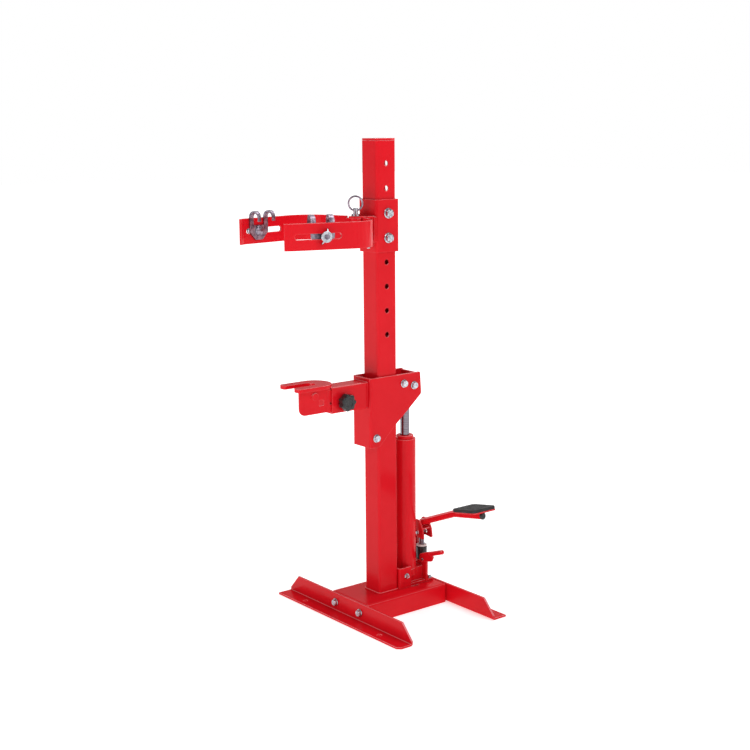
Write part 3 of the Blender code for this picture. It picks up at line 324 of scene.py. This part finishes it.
def red_paint():
    """Glossy powder coat: faint mottling, orange peel, a painted highlight on slopes that face half up, and
    paler edges that are partly thinned, rubbed coat and partly a painted highlight.
    """
    mat, shader = new_material("red_powder_coat")
    tone = spotted(mat, 14, (0.655, 0.005, 0.012), (0.70, 0.007, 0.015), 4.0)
    tone = bend_sheen(mat, tone, (0.90, 0.38, 0.41))
    # Paler edges: partly rubbed wear, partly a painted highlight on edges that face up.
    tone = edge_wear_and_highlight(mat, tone, (0.92, 0.44, 0.46), 0.0022, 90)
    mat.node_tree.links.new(tone, shader.inputs["Base Color"])
    mat.node_tree.links.new(between(mat, noise(mat, 40), 0.22, 0.27), shader.inputs["Roughness"])
    shader.inputs["Specular IOR Level"].default_value = 0.09
    shader.inputs["Coat Weight"].default_value = 0.06
    shader.inputs["Coat Roughness"].default_value = 0.12
    bumped(mat, shader, noise(mat, 700, 1.0), 0.10, 0.0001)
    return mat


def zinc(name, dark, light, rough_low, rough_high, scale):
    mat, shader = new_material(name)
    mat.node_tree.links.new(spotted(mat, scale, dark, light, 5.0), shader.inputs["Base Color"])
    roughness = between(mat, noise(mat, scale * 2.3, 4.0), rough_low, rough_high)
    mat.node_tree.links.new(roughness, shader.inputs["Roughness"])
    shader.inputs["Metallic"].default_value = 1.0
    bumped(mat, shader, noise(mat, scale * 9, 3.0), 0.15, 0.0001)
    return mat


def polished_steel():
    """Ground rod: fine rings round it and a smoky polish."""
    mat, shader = new_material("ground_steel")
    rings = (0.15, 0.15, 6.0)
    mat.node_tree.links.new(spotted(mat, 260, (0.13, 0.11, 0.13), (0.26, 0.23, 0.26), 3.0, rings),
                            shader.inputs["Base Color"])
    mat.node_tree.links.new(between(mat, noise(mat, 300, 2.0, rings), 0.12, 0.22), shader.inputs["Roughness"])
    shader.inputs["Metallic"].default_value = 1.0
    bumped(mat, shader, noise(mat, 500, 1.0, rings), 0.06, 0.0001)
    return mat


def dark_moulding(name, dark, light, rough_low, rough_high, grain, depth):
    mat, shader = new_material(name)
    mat.node_tree.links.new(spotted(mat, grain / 8, dark, light), shader.inputs["Base Color"])
    roughness = between(mat, noise(mat, grain / 5), rough_low, rough_high)
    mat.node_tree.links.new(roughness, shader.inputs["Roughness"])
    shader.inputs["Specular IOR Level"].default_value = 0.4
    bumped(mat, shader, noise(mat, grain, 2.0), 0.3, depth)
    return mat


FINISHES = {
    "red_paint": red_paint(),
    "zinc_plate": zinc("bright_zinc", (0.30, 0.32, 0.37), (0.66, 0.68, 0.72), 0.16, 0.30, 230),
    "hook_zinc": zinc("smoky_zinc", (0.12, 0.09, 0.13), (0.46, 0.40, 0.47), 0.26, 0.44, 150),
    "polished_steel": polished_steel(),
    "black_plastic": dark_moulding("black_nylon", (0.012, 0.012, 0.013), (0.026, 0.026, 0.028),
                                   0.22, 0.34, 900, 0.00015),
    "rubber": dark_moulding("black_rubber", (0.016, 0.016, 0.017), (0.034, 0.034, 0.034),
                            0.55, 0.75, 700, 0.0002),
    "white_seal": dark_moulding("white_seal", (0.76, 0.76, 0.74), (0.86, 0.86, 0.84),
                                0.40, 0.50, 500, 0.0001),
}


# ---- Finishing and making pieces -----------------------------------------------------------------
def finish_cad(obj, slot):
    """A CAD node keeps its shape: its facets are welded, its corners eased, and its finish put on."""
    for material_slot in obj.material_slots:
        material_slot.material = FINISHES[slot]
    weld = obj.modifiers.new("joined_facets", "WELD")
    weld.merge_threshold = 0.000005
    ease = obj.modifiers.new("eased_corners", "BEVEL")
    ease.width = 0.0006
    ease.segments = 2
    ease.limit_method = "ANGLE"
    ease.angle_limit = math.radians(38)


def piece(name, bm, node, slot=None, sharp=32):
    """A new piece on the body of a CAD node, in its slot's finish unless another is named."""
    mesh = bpy.data.meshes.new(name)
    bmesh.ops.recalc_face_normals(bm, faces=bm.faces)
    bm.to_mesh(mesh)
    bm.free()
    mesh.shade_smooth()
    mesh.set_sharp_from_angle(angle=math.radians(sharp))
    obj = bpy.data.objects.new(name, mesh)
    bpy.context.scene.collection.objects.link(obj)
    slot = slot or SLOT_OF[node]
    mesh.materials.append(FINISHES[slot])
    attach(obj, BODY_OF[node])
    return obj


def stand_for(name, bm, node, slot=None, sharp=32):
    obj = piece(name, bm, node, slot, sharp)
    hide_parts(node)
    return obj


def basis(origin, axis, side=None):
    """A matrix whose Z is the axis, and whose X is as near side as it can be."""
    up = Vector(axis).normalized()
    across = Vector(side) if side else (X if abs(up.x) < 0.9 else Y)
    across = (across - up * across.dot(up)).normalized()
    turn = Matrix((across, up.cross(across), up)).transposed().to_4x4()
    return Matrix.Translation(origin) @ turn


def spin(bm, rows, place, steps=48):
    """A closed skin round an axis. A row is a height and a radius, or a function of the angle."""
    angles = [2 * math.pi * step / steps for step in range(steps)]
    rings = []
    for height, radius in rows:
        ring = []
        for angle in angles:
            reach = radius(angle) if callable(radius) else radius
            point = Vector((reach * math.cos(angle), reach * math.sin(angle), height))
            ring.append(bm.verts.new(place @ point))
        rings.append(ring)
    for lower, upper in zip(rings, rings[1:]):
        for step in range(steps):
            after = (step + 1) % steps
            bm.faces.new((lower[step], lower[after], upper[after], upper[step]))
    bm.faces.new(rings[0][::-1])
    bm.faces.new(rings[-1])


def hexagon(flats, limit):
    """Radius of a hexagon this far across its flats, chamfered to a circle of radius limit."""
    def radius(angle):
        inside = (angle + math.pi / 6) % (math.pi / 3) - math.pi / 6
        return min(flats / 2 / math.cos(inside), limit)
    return radius


def hex_rows(low, high, flats, low_chamfer=True):
    """Rows of a hexagonal head or nut between two heights."""
    corner = flats / 2 / math.cos(math.pi / 6)
    chamfer = 0.0008
    rows = []
    if low_chamfer:
        rows += [(low, hexagon(flats, flats * 0.49)), (low + chamfer, hexagon(flats, corner))]
    else:
        rows.append((low, hexagon(flats, corner)))
    for share in (1.0, 0.5, 0.0):
        rows.append((high - chamfer * share, hexagon(flats, corner - (1 - share) * (corner - flats * 0.475))))
    return rows


def thread_rows(low, high, radius, pitch):
    turns = max(1, int((high - low) / pitch))
    rows = []
    for index in range(turns):
        start = low + (high - low) * index / turns
        rows += [(start, radius * 0.90), (start + (high - low) / turns / 2, radius)]
    return rows


# Thread radius, width across flats, head height, flange radius and thread pitch of each size.
# The arm stops are slimmer than their CAD bolts, to stay clear of the arms at their limits.
M6 = (0.003, 0.008, 0.0052, 0.0058, 0.0010)
M8 = (0.004, 0.013, 0.0064, 0.0085, 0.00125)
M10 = (0.005, 0.016, 0.0085, 0.0105, 0.0015)
STOP = (0.0038, 0.0098, 0.0045, 0.0060, 0.00125)


def fastener(node, size, axis, grip=None):
    """A flange bolt as long as its CAD bolt, with a nut that far behind its seat if it has a grip."""
    radius, flats, height, flange, pitch = size
    low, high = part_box(node)
    middle = (low + high) / 2
    axis = Vector(axis)
    length = abs((high - low).dot(axis))
    top = middle + axis * length / 2
    seat = top - axis * height
    end = height - length
    rim = 0.0016
    rows = [(end, radius * 0.72)]
    if grip:
        rows += thread_rows(end + 0.0006, -grip - height, radius, pitch)
        rows += [(-grip - height, radius)]
        rows += hex_rows(-grip - height, -grip, flats)
        rows += [(-grip, radius)]
    else:
        rows += thread_rows(end + 0.0006, -0.0005, radius, pitch)
    rows += [(0, radius), (0, flange * 0.97), (0.0004, flange), (rim - 0.0005, flange)]
    rows += [(rim, flats * 0.575)]
    rows += hex_rows(rim + 0.0001, height, flats, False)
    rows += [(height - 0.0002, radius * 0.9), (height - 0.0002, radius * 0.5)]
    bm = bmesh.new()
    spin(bm, rows, basis(seat, axis))
    stand_for(node + "_fine", bm, node)


def bead(name, points, radius, node, closed=False):
    """A weld bead: a painted, rippled rope of metal along a line."""
    line = [Vector(point) for point in points]
    if closed:
        line.append(line[0])
    path = []
    gone = 0.0
    for start, end in zip(line, line[1:]):
        count = max(2, round((end - start).length / 0.0009))
        for index in range(count):
            share = index / count
            distance = gone + (end - start).length * share
            path.append((start.lerp(end, share), (end - start).normalized(), distance))
        gone += (end - start).length
    if not closed:
        path.append((line[-1], path[-1][1], gone))
    bm = bmesh.new()
    rings = []
    for centre, heading, distance in path:
        place = basis(centre, heading, Z if abs(heading.z) < 0.9 else X)
        swell = radius * (0.92 + 0.10 * math.sin(distance * 2 * math.pi / 0.0034)
                          + 0.05 * math.sin(distance * 2 * math.pi / 0.0127))
        ring = []
        for step in range(10):
            angle = 2 * math.pi * step / 10
            point = Vector((swell * math.cos(angle), swell * math.sin(angle), 0))
            ring.append(bm.verts.new(place @ point))
        rings.append(ring)
    pairs = list(zip(rings, rings[1:]))
    if closed:
        pairs.append((rings[-1], rings[0]))
    for lower, upper in pairs:
        for step in range(10):
            after = (step + 1) % 10
            bm.faces.new((lower[step], lower[after], upper[after], upper[step]))
    if not closed:
        bm.faces.new(rings[0])
        bm.faces.new(rings[-1])
    piece(name, bm, node, "red_paint", 60)


def rounded_square(low, high, corner, height=None, depth=None):
    """Points round a rounded rectangle, flat at a height (x, y) or upright at a depth (x, z)."""
    centres = ((high[0] - corner, high[1] - corner, 0), (low[0] + corner, high[1] - corner, 90),
               (low[0] + corner, low[1] + corner, 180), (high[0] - corner, low[1] + corner, 270))
    points = []
    for a, b, start in centres:
        for step in range(5):
            angle = math.radians(start + 90 * step / 4)
            u = a + corner * math.cos(angle)
            v = b + corner * math.sin(angle)
            points.append((u, v, height) if depth is None else (u, depth, v))
    return points


# ---- Welds ---------------------------------------------------------------------------------------
def welds():
    low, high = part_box("column")
    ring = rounded_square((low.x - 0.0003, low.y - 0.0003), (high.x + 0.0003, high.y + 0.0003),
                          0.005, low.z + 0.0008)
    bead("column_foot_weld", ring, 0.0026, "column", closed=True)
    sleeve_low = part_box("upper_sleeve")[0]
    lug_low, lug_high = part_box("hinge_bracket")
    web = 0.0285
    for name, side in (("right", 1), ("left", -1)):
        bead(f"{name}_hinge_weld", [(side * web, sleeve_low.y - 0.0006, lug_low.z + 0.002),
                                    (side * web, sleeve_low.y - 0.0006, lug_high.z - 0.002)],
             0.0018, "hinge_bracket")
    box_low, box_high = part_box("fork_carrier")
    ring = rounded_square((box_low.x, box_low.z), (box_high.x, box_high.z), 0.003, depth=box_high.y - 0.0010)
    bead("fork_carrier_weld", ring, 0.0020, "fork_carrier", closed=True)
    plate_low, plate_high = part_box("fork_plate")
    slider_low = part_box("fork_slider")[0]
    bead("fork_plate_weld", [(0.0170, slider_low.y + 0.004, plate_low.z + 0.0002),
                             (0.0170, plate_high.y - 0.012, plate_low.z + 0.0002)], 0.0014, "fork_plate")


# ---- Fasteners -------------------------------------------------------------------------------------
def fasteners():
    for end, outward in (("front", -1), ("rear", 1)):
        for side in ("right", "left"):
            fastener(f"{end}_{side}_foot_bolt", M8, (0, outward, 0), 0.0089)
    for name, side in (("right", 1), ("left", -1)):
        fastener(f"{name}_bracket_screw", M6, (side, 0, 0))
        fastener(f"{name}_block_bolt", M6, (0, 0, 1))
        fastener(f"{name}_arm_stop", STOP, (0, 0, 1), 0.0203)
    for node in ("lower_sleeve_bolt", "upper_sleeve_bolt"):
        fastener(node, M10, (1, 0, 0), 0.0606)
    for node in ("rear_axle", "front_axle", "ram_bolt"):
        fastener(node, M8, (1, 0, 0), 0.0616)


# ---- Knob, pad, ring ---------------------------------------------------------------------------------
def knob():
    """A seven-lobed hand screw with a dished face and a threaded stud."""
    low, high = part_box("lock_knob")
    centre = (low + high) / 2
    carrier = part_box("fork_carrier")[1].x
    start = low.x - carrier
    top = high.x - carrier
    reach = (high.y - low.y) / 2
    grip = 0.0033

    def lobed(scale, depth=0.0015):
        return lambda angle: (reach - depth) * scale + depth * scale * math.cos(7 * angle)

    rows = [(start, 0.0035)] + thread_rows(start + 0.0006, 0.0003, 0.005, 0.0015)
    rows += [(0.0003, 0.0080), (0.0006, 0.0092), (0.0028, 0.0092), (grip, lobed(0.80, 0.0008))]
    for angle in (10, 35, 60, 90):
        turn = math.radians(angle)
        rows.append((grip + 0.0022 - 0.0022 * math.cos(turn), lobed(0.86 + 0.14 * math.sin(turn))))
    for angle in (0, 30, 60, 85):
        turn = math.radians(angle)
        rows.append((top - 0.003 + 0.003 * math.sin(turn), lobed(0.80 + 0.20 * math.cos(turn))))
    rows += [(top - 0.0004, 0.0092), (top - 0.0016, 0.0080), (top - 0.0018, 0.0030), (top - 0.0018, 0.0012)]
    bm = bmesh.new()
    spin(bm, rows, basis((carrier, centre.y, centre.z), X, Y), 98)
    stand_for("lobed_knob", bm, "lock_knob")


def top_frame(node):
    """Where a flat piece lies: the middle of its upper face, with Z out of it and X along +X."""
    areas = {}
    for face in NODES[node].data.polygons:
        key = tuple(round(value, 3) for value in face.normal)
        areas[key] = areas.get(key, 0) + face.area
    normal = max((key for key in areas if key[2] > 0.5), key=lambda key: areas[key])
    up = Vector(normal).normalized()
    corners = [vertex.co for vertex in NODES[node].data.vertices]
    low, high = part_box(node)
    middle = (low + high) / 2
    top = max((corner - middle).dot(up) for corner in corners)
    return basis(middle + up * top, up, X)


def extent(node, place):
    local = [place.inverted() @ vertex.co for vertex in NODES[node].data.vertices]
    return [(min(point[axis] for point in local), max(point[axis] for point in local)) for axis in range(3)]


def rubber_pad():
    """The pedal's rubber: a rounded slab with ribs across it inside a plain rim."""
    place = top_frame("pedal_pad")
    (x_low, x_high), (y_low, y_high), (z_low, _) = extent("pedal_pad", place)
    half = Vector(((x_high - x_low) / 2, (y_high - y_low) / 2))
    centre = Vector(((x_high + x_low) / 2, (y_high + y_low) / 2))
    corner = 0.010
    columns = 104
    across = 40
    ribs = 9
    rim = 0.0045
    bm = bmesh.new()
    top = []
    for index in range(columns + 1):
        u = -math.cos(math.pi * index / columns) * 0.25 + (2 * index / columns - 1) * 0.75
        x = u * half.x
        over = max(0.0, abs(x) - (half.x - corner))
        width = half.y - corner + math.sqrt(max(corner * corner - over * over, 0.0))
        row = []
        for step in range(across + 1):
            v = -math.cos(math.pi * step / across) * 0.3 + (2 * step / across - 1) * 0.7
            y = v * width
            edge = min(half.x - abs(x), width - abs(y))
            drop = 0.0012 * max(0.0, 1 - edge / 0.0016) ** 2
            if edge > rim:
                wave = math.cos((x + half.x - rim) / (2 * (half.x - rim)) * ribs * 2 * math.pi)
                drop += 0.0013 * min(1.0, (edge - rim) / 0.0012) / (1 + math.exp(-7 * wave))
            row.append(bm.verts.new(place @ Vector((centre.x + x, centre.y + y, -drop))))
        top.append(row)
    for first, second in zip(top, top[1:]):
        for step in range(across):
            bm.faces.new((first[step], second[step], second[step + 1], first[step + 1]))
    rim_edges = [edge for edge in bm.edges if edge.is_boundary]
    made = bmesh.ops.extrude_edge_only(bm, edges=rim_edges)["geom"]
    down = place.to_3x3() @ Vector((0, 0, 1))
    origin = place.translation
    for vertex in made:
        if isinstance(vertex, bmesh.types.BMVert):
            vertex.co += down * (z_low - (vertex.co - origin).dot(down))
    bmesh.ops.holes_fill(bm, edges=[edge for edge in bm.edges if edge.is_boundary])
    bmesh.ops.triangulate(bm, faces=[face for face in bm.faces if len(face.verts) > 4])
    bmesh.ops.remove_doubles(bm, verts=bm.verts, dist=0.000001)
    stand_for("ribbed_rubber", bm, "pedal_pad", sharp=50)


def ring():
    """The pull ring's wire, round and smooth, in the plane that the CAD ring lies in."""
    low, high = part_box("pull_ring")
    centre = (low + high) / 2
    reach = (high.z - low.z) / 2
    points = [vertex.co - centre for vertex in NODES["pull_ring"].data.vertices]
    level = [Vector((point.x, point.y, 0)) for point in points]
    across = max(level, key=lambda point: point.length).normalized()
    through = Z.cross(across)
    wire = max(abs(point.dot(through)) for point in points)
    major = reach - wire
    around = 80
    sides = 16
    bm = bmesh.new()
    turns = []
    for step in range(around):
        angle = 2 * math.pi * step / around
        out = across * math.cos(angle) + Z * math.sin(angle)
        turns.append([bm.verts.new(centre + out * (major + wire * math.cos(2 * math.pi * k / sides))
                                   + through * wire * math.sin(2 * math.pi * k / sides)) for k in range(sides)])
    for step in range(around):
        first = turns[step]
        second = turns[(step + 1) % around]
        for k in range(sides):
            bm.faces.new((first[k], first[(k + 1) % sides], second[(k + 1) % sides], second[k]))
    stand_for("wire_ring", bm, "pull_ring", "hook_zinc")


def wing_nut(name):
    """A forged wing nut: a tapered hub with two swelling wings."""
    joint = JOINTS[f"{name}_nut_turn"]
    node = f"{name}_wing_nut"
    inward = Vector(joint["axis"]).normalized()
    out = -inward
    origin = Vector(joint["pos_m"])
    corners = [vertex.co - origin for vertex in NODES[node].data.vertices]
    seat = min(corner.dot(out) for corner in corners)
    top = max(corner.dot(out) for corner in corners)
    flat = [corner - out * corner.dot(out) for corner in corners]
    wing_tip = max((corner for corner in flat if corner.z > 0), key=lambda corner: corner.length)
    span = wing_tip.length
    bore = 0.0054
    place = basis(origin + out * seat, out, wing_tip)
    bm = bmesh.new()
    hub_top = 0.012
    rows = [(0.0, 0.0106), (0.0004, 0.0110), (0.0016, 0.0110), (0.0020, 0.0094), (0.0050, 0.0086),
            (0.0100, 0.0078), (0.0116, 0.0072), (hub_top, 0.0066), (hub_top, bore),
            (hub_top - 0.0010, bore - 0.0003), (0.0, bore - 0.0003)]
    steps = 40
    rings = []
    for height, radius in rows:
        rings.append([bm.verts.new(place @ Vector((radius * math.cos(2 * math.pi * k / steps),
                                                   radius * math.sin(2 * math.pi * k / steps), height)))
                      for k in range(steps)])
    for lower, upper in zip(rings, rings[1:] + rings[:1]):
        for k in range(steps):
            bm.faces.new((lower[k], lower[(k + 1) % steps], upper[(k + 1) % steps], upper[k]))
    stand_for(f"{name}_nut_hub", bm, node)
    for side, word in ((1, "upper"), (-1, "lower")):
        bm = bmesh.new()
        sections = []
        for share in range(15):
            t = share / 14
            along = 0.0066 + (span - 0.0066 - 0.0012) * t
            height = 0.0058 + (top - seat - 0.0058 - 0.0048) * t ** 0.9
            tall = 0.0042 + 0.0014 * math.sin(math.pi * min(1.0, t * 1.15)) - 0.0002 * t
            thick = 0.0023 - 0.0004 * t
            close = math.sqrt(max(0.0, 1 - ((t - 0.82) / 0.19) ** 2)) if t > 0.82 else 1.0
            sections.append([bm.verts.new(place @ Vector((side * (along + tall * 0.35 * math.cos(a) * close),
                                                          thick * math.sin(a) * max(close, 0.12),
                                                          height + tall * math.cos(a) * max(close, 0.12))))
                             for a in (2 * math.pi * k / 14 for k in range(14))])
        for lower, upper in zip(sections, sections[1:]):
            for k in range(14):
                bm.faces.new((lower[k], lower[(k + 1) % 14], upper[(k + 1) % 14], upper[k]))
        bm.faces.new(sections[0])
        bm.faces.new(sections[-1])
        piece(f"{name}_nut_{word}_wing", bm, node)


# ---- Small pieces that CAD leaves out -----------------------------------------------------------------
def oil_plug():
    """The socket-headed filler plug on the pedal side of the pump block."""
    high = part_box("pump_block")[1]
    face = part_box("jack_cylinder")[0].z
    body_x = 0.0170
    bm = bmesh.new()
    rows = [(-0.001, 0.0042), (0.0012, 0.0046), (0.0018, 0.0044), (0.0018, hexagon(0.0040, 0.0023)),
            (0.0004, hexagon(0.0040, 0.0023))]
    spin(bm, rows, basis((body_x, high.y - 0.020, face - 0.008), X), 36)
    piece("oil_filler_plug", bm, "pump_block", "zinc_plate")


def pad_rivets():
    """Two rivets that hold the rubber, seen from under the pedal's plate."""
    place = top_frame("pedal_plate")
    (_, _), (_, _), (z_low, _) = extent("pedal_plate", place)
    for word, side in (("outer", 1), ("inner", -1)):
        bm = bmesh.new()
        rows = [(0.0002, 0.0019), (0.0, 0.0040), (-0.0008, 0.0036), (-0.0015, 0.0026), (-0.0018, 0.0010)]
        spin(bm, rows, place @ Matrix.Translation((side * 0.027, 0, z_low)), 28)
        piece(f"{word}_pad_rivet", bm, "pedal_plate", "zinc_plate")


for cad_name, cad_obj in NODES.items():
    finish_cad(cad_obj, SLOT_OF[cad_name])
camera()
studio()
welds()
fasteners()
knob()
rubber_pad()
ring()
wing_nut("right")
wing_nut("left")
oil_plug()
pad_rivets()
